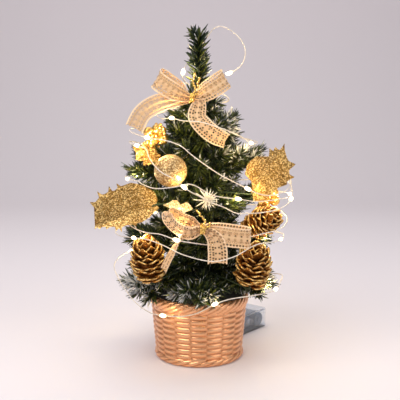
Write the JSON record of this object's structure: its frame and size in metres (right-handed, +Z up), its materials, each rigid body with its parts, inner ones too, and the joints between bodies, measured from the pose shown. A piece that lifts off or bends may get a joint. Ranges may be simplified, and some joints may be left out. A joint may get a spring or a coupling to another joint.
{
  "type": "artificial tabletop tree",
  "caption": "Small decorated artificial tree of wired branches in a basket-weave pot, with bows, picks, a wound light string and its battery box.",
  "frame": {"origin": "centre of the pot's flat base, on the floor", "axes": "+Z up along the trunk, -Y towards the decorated front, +X to the front view's right"},
  "size_m": [0.169, 0.2111, 0.298],
  "materials": {
    "needles": "matte, cut PVC strip",
    "green_tape": "matte paper tape over wire",
    "rose_gold_plastic": "satin metallic plastic",
    "plaster": "rough cast",
    "gold_wire": "bright",
    "gold_lace": "woven lace ribbon",
    "gold_glitter": "coarse glitter",
    "champagne_glitter": "fine glitter",
    "cone_copper": "metallic lacquer",
    "berry_gold": "metallic gloss",
    "frost": "frosted",
    "clear_plastic": "clear",
    "circuit_board": "solder mask",
    "switch_black": "moulded",
    "cell_skin": "printed foil",
    "spring_steel": "nickel plated",
    "wire_cream": "lacquered copper"
  },
  "bodies": {
    "root": {"basket_pot": "rose_gold_plastic", "plaster_weight": "plaster", "trunk_stem": "green_tape", "light_wire": "wire_cream", "top_bow": "gold_lace", "top_bow_tie": "gold_wire", "front_bow": "gold_lace", "front_bow_tie": "gold_wire", "battery_case": "clear_plastic", "circuit_board": "circuit_board", "wire_gland": "clear_plastic", "battery_1": "cell_skin", "battery_2": "cell_skin", "battery_3": "cell_skin", "spring_1": "spring_steel", "spring_2": "spring_steel", "spring_3": "spring_steel"},
    "branch_1_1": {"branch_1_1": "needles"},
    "branch_1_2": {"branch_1_2": "needles"},
    "branch_1_3": {"branch_1_3": "needles"},
    "branch_1_4": {"branch_1_4": "needles"},
    "branch_1_5": {"branch_1_5": "needles"},
    "branch_1_6": {"branch_1_6": "needles"},
    "branch_2_1": {"branch_2_1": "needles"},
    "branch_2_2": {"branch_2_2": "needles"},
    "branch_2_3": {"branch_2_3": "needles"},
    "branch_2_4": {"branch_2_4": "needles"},
    "branch_2_5": {"branch_2_5": "needles"},
    "branch_2_6": {"branch_2_6": "needles"},
    "branch_3_1": {"branch_3_1": "needles"},
    "branch_3_2": {"branch_3_2": "needles"},
    "branch_3_3": {"branch_3_3": "needles"},
    "branch_3_4": {"branch_3_4": "needles"},
    "branch_3_5": {"branch_3_5": "needles"},
    "branch_4_1": {"branch_4_1": "needles"},
    "branch_4_2": {"branch_4_2": "needles"},
    "branch_4_3": {"branch_4_3": "needles"},
    "branch_4_4": {"branch_4_4": "needles"},
    "branch_5_1": {"branch_5_1": "needles"},
    "branch_5_2": {"branch_5_2": "needles"},
    "branch_5_3": {"branch_5_3": "needles"},
    "leaf_left": {"leaf_left": "gold_glitter"},
    "leaf_right": {"leaf_right": "gold_glitter"},
    "leaf_upper": {"leaf_upper": "gold_glitter"},
    "leaf_small": {"leaf_small": "gold_glitter"},
    "glitter_ball": {"glitter_ball": "champagne_glitter", "ball_cap": "gold_wire", "ball_wire": "gold_wire"},
    "cone_left": {"cone_left": "cone_copper"},
    "cone_right": {"cone_right": "cone_copper"},
    "cone_side": {"cone_side": "cone_copper"},
    "berries_left": {"berries_left": "berry_gold"},
    "berries_right": {"berries_right": "berry_gold"},
    "frost_star": {"frost_star": "frost"},
    "leader_tip": {"leader_tip": "needles"},
    "battery_cover": {"battery_cover": "clear_plastic"},
    "switch_knob": {"switch_knob": "switch_black"}
  },
  "joints": [
    {"name": "branch_1_1_bend", "type": "hinge", "parent": "root", "child": "branch_1_1", "pos_m": [0.00312, 0.0018, 0.068], "axis": [0.5, -0.866, 0], "range_deg": [-8, 20], "deforming": ["light_wire"]},
    {"name": "branch_1_2_bend", "type": "hinge", "parent": "root", "child": "branch_1_2", "pos_m": [0, 0.0036, 0.068], "axis": [1, 0, 0], "range_deg": [-8, 20], "deforming": ["light_wire"]},
    {"name": "branch_1_3_bend", "type": "hinge", "parent": "root", "child": "branch_1_3", "pos_m": [-0.00312, 0.0018, 0.068], "axis": [0.5, 0.866, 0], "range_deg": [-8, 20], "deforming": ["light_wire"]},
    {"name": "branch_1_4_bend", "type": "hinge", "parent": "root", "child": "branch_1_4", "pos_m": [-0.00321, -0.00163, 0.068], "axis": [-0.454, 0.891, 0], "range_deg": [-8, 20], "deforming": ["light_wire"]},
    {"name": "branch_1_5_bend", "type": "hinge", "parent": "root", "child": "branch_1_5", "pos_m": [0, -0.0036, 0.068], "axis": [-1, 0, 0], "range_deg": [-8, 20], "deforming": ["light_wire"]},
    {"name": "branch_1_6_bend", "type": "hinge", "parent": "root", "child": "branch_1_6", "pos_m": [0.00321, -0.00163, 0.068], "axis": [-0.454, -0.891, 0], "range_deg": [-8, 20], "deforming": ["light_wire"]},
    {"name": "branch_2_1_bend", "type": "hinge", "parent": "root", "child": "branch_2_1", "pos_m": [0.00348, 0.00093, 0.098], "axis": [0.2588, -0.9659, 0], "range_deg": [-10, 20], "deforming": ["light_wire"]},
    {"name": "branch_2_2_bend", "type": "hinge", "parent": "root", "child": "branch_2_2", "pos_m": [0.00135, 0.00334, 0.098], "axis": [0.9272, -0.3746, 0], "range_deg": [-10, 20], "deforming": ["light_wire"]},
    {"name": "branch_2_3_bend", "type": "hinge", "parent": "root", "child": "branch_2_3", "pos_m": [-0.00201, 0.00298, 0.098], "axis": [0.829, 0.5592, 0], "range_deg": [-10, 20], "deforming": ["light_wire"]},
    {"name": "branch_2_4_bend", "type": "hinge", "parent": "root", "child": "branch_2_4", "pos_m": [-0.0036, 0, 0.098], "axis": [0, 1, 0], "range_deg": [-10, 20], "deforming": ["light_wire"]},
    {"name": "branch_2_5_bend", "type": "hinge", "parent": "root", "child": "branch_2_5", "pos_m": [0.00006, -0.0036, 0.098], "axis": [-0.9998, -0.0175, 0], "range_deg": [-10, 20], "deforming": ["light_wire"]},
    {"name": "branch_2_6_bend", "type": "hinge", "parent": "root", "child": "branch_2_6", "pos_m": [0.00334, -0.00135, 0.098], "axis": [-0.3746, -0.9272, 0], "range_deg": [-10, 20], "deforming": ["light_wire"]},
    {"name": "branch_3_1_bend", "type": "hinge", "parent": "root", "child": "branch_3_1", "pos_m": [0.00312, 0.0018, 0.129], "axis": [0.5, -0.866, 0], "range_deg": [-10, 20], "deforming": ["light_wire"]},
    {"name": "branch_3_2_bend", "type": "hinge", "parent": "root", "child": "branch_3_2", "pos_m": [0.00013, 0.0036, 0.129], "axis": [0.9994, -0.0349, 0], "range_deg": [-10, 20], "deforming": ["light_wire"]},
    {"name": "branch_3_3_bend", "type": "hinge", "parent": "root", "child": "branch_3_3", "pos_m": [-0.00298, 0.00201, 0.129], "axis": [0.5592, 0.829, 0], "range_deg": [-10, 20], "deforming": ["light_wire"]},
    {"name": "branch_3_4_bend", "type": "hinge", "parent": "root", "child": "branch_3_4", "pos_m": [-0.00338, -0.00123, 0.129], "axis": [-0.342, 0.9397, 0], "range_deg": [-10, 20], "deforming": ["light_wire"]},
    {"name": "branch_3_5_bend", "type": "hinge", "parent": "root", "child": "branch_3_5", "pos_m": [0.00135, -0.00334, 0.129], "axis": [-0.9272, -0.3746, 0], "range_deg": [-10, 20], "deforming": ["light_wire"]},
    {"name": "branch_4_1_bend", "type": "hinge", "parent": "root", "child": "branch_4_1", "pos_m": [0.0036, 0, 0.16], "axis": [0, -1, 0], "range_deg": [-10, 20], "deforming": ["light_wire"]},
    {"name": "branch_4_2_bend", "type": "hinge", "parent": "root", "child": "branch_4_2", "pos_m": [0.0018, 0.00312, 0.16], "axis": [0.866, -0.5, 0], "range_deg": [-10, 20], "deforming": ["light_wire"]},
    {"name": "branch_4_3_bend", "type": "hinge", "parent": "root", "child": "branch_4_3", "pos_m": [-0.00191, 0.00305, 0.16], "axis": [0.848, 0.5299, 0], "range_deg": [-10, 20], "deforming": ["light_wire"]},
    {"name": "branch_4_4_bend", "type": "hinge", "parent": "root", "child": "branch_4_4", "pos_m": [-0.0036, -0.00013, 0.16], "axis": [-0.0349, 0.9994, 0], "range_deg": [-10, 20], "deforming": ["light_wire"]},
    {"name": "branch_5_1_bend", "type": "hinge", "parent": "root", "child": "branch_5_1", "pos_m": [0.00338, 0.00123, 0.192], "axis": [0.342, -0.9397, 0], "range_deg": [-10, 20], "deforming": ["light_wire"]},
    {"name": "branch_5_2_bend", "type": "hinge", "parent": "root", "child": "branch_5_2", "pos_m": [-0.00255, 0.00255, 0.192], "axis": [0.7071, 0.7071, 0], "range_deg": [-10, 20], "deforming": ["light_wire"]},
    {"name": "branch_5_3_bend", "type": "hinge", "parent": "root", "child": "branch_5_3", "pos_m": [0.00276, -0.00231, 0.192], "axis": [-0.6428, -0.766, 0], "range_deg": [-10, 20], "deforming": ["light_wire"]},
    {"name": "leaf_left_bend", "type": "hinge", "parent": "root", "child": "leaf_left", "pos_m": [-0.0021, -0.00292, 0.1425], "axis": [-0.8119, 0.5839, 0], "range_deg": [-6, 12], "deforming": ["light_wire"]},
    {"name": "leaf_right_bend", "type": "hinge", "parent": "root", "child": "leaf_right", "pos_m": [0.0026, -0.00249, 0.152], "axis": [-0.6917, -0.7222, 0], "range_deg": [-8, 12], "deforming": ["light_wire"]},
    {"name": "leaf_upper_bend", "type": "hinge", "parent": "root", "child": "leaf_upper", "pos_m": [-0.0033, -0.00144, 0.174], "axis": [-0.3999, 0.9165, 0], "range_deg": [-10, 10], "deforming": ["light_wire"]},
    {"name": "leaf_small_bend", "type": "hinge", "parent": "root", "child": "leaf_small", "pos_m": [-0.00033, -0.00359, 0.1395], "axis": [-0.9958, 0.0915, 0], "range_deg": [-6, 3], "deforming": ["light_wire"]},
    {"name": "glitter_ball_bend", "type": "hinge", "parent": "root", "child": "glitter_ball", "pos_m": [-0.00152, -0.00326, 0.1871], "axis": [-0.9063, 0.4226, 0], "range_deg": [-3, 6], "deforming": ["light_wire"]},
    {"name": "cone_left_bend", "type": "hinge", "parent": "root", "child": "cone_left", "pos_m": [-0.00228, -0.00279, 0.08542], "axis": [-0.7743, 0.6328, 0], "range_deg": [-8, 8], "deforming": ["light_wire"]},
    {"name": "cone_right_bend", "type": "hinge", "parent": "root", "child": "cone_right", "pos_m": [0.00242, -0.00266, 0.0802], "axis": [-0.7397, -0.6729, 0], "range_deg": [-8, 6], "deforming": ["light_wire"]},
    {"name": "cone_side_bend", "type": "hinge", "parent": "root", "child": "cone_side", "pos_m": [0.00295, -0.00206, 0.1269], "axis": [-0.5725, -0.8199, 0], "range_deg": [-8, 4], "deforming": ["light_wire"]},
    {"name": "berries_left_bend", "type": "hinge", "parent": "root", "child": "berries_left", "pos_m": [-0.0032, -0.00164, 0.192], "axis": [-0.4561, 0.8899, 0], "range_deg": [-10, 12], "deforming": ["light_wire"]},
    {"name": "berries_right_bend", "type": "hinge", "parent": "root", "child": "berries_right", "pos_m": [0.00342, -0.00114, 0.139], "axis": [-0.3162, -0.9487, 0], "range_deg": [-4, 10], "deforming": ["light_wire"]},
    {"name": "frost_star_bend", "type": "hinge", "parent": "root", "child": "frost_star", "pos_m": [0.00042, -0.00357, 0.1495], "axis": [-0.9932, -0.1168, 0], "range_deg": [-10, 12], "deforming": ["light_wire"]},
    {"name": "leader_tip_bend", "type": "hinge", "parent": "root", "child": "leader_tip", "pos_m": [0, 0, 0.238], "axis": [0, 1, 0], "range_deg": [-20, 20], "deforming": ["light_wire"]},
    {"name": "battery_cover_slide", "type": "slide", "parent": "root", "child": "battery_cover", "axis": [0.766, -0.6428, 0], "range_m": [0, 0.058]},
    {"name": "switch_slide", "type": "slide", "parent": "root", "child": "switch_knob", "axis": [0.6428, 0.766, 0], "range_m": [0, 0.004]}
  ]
}
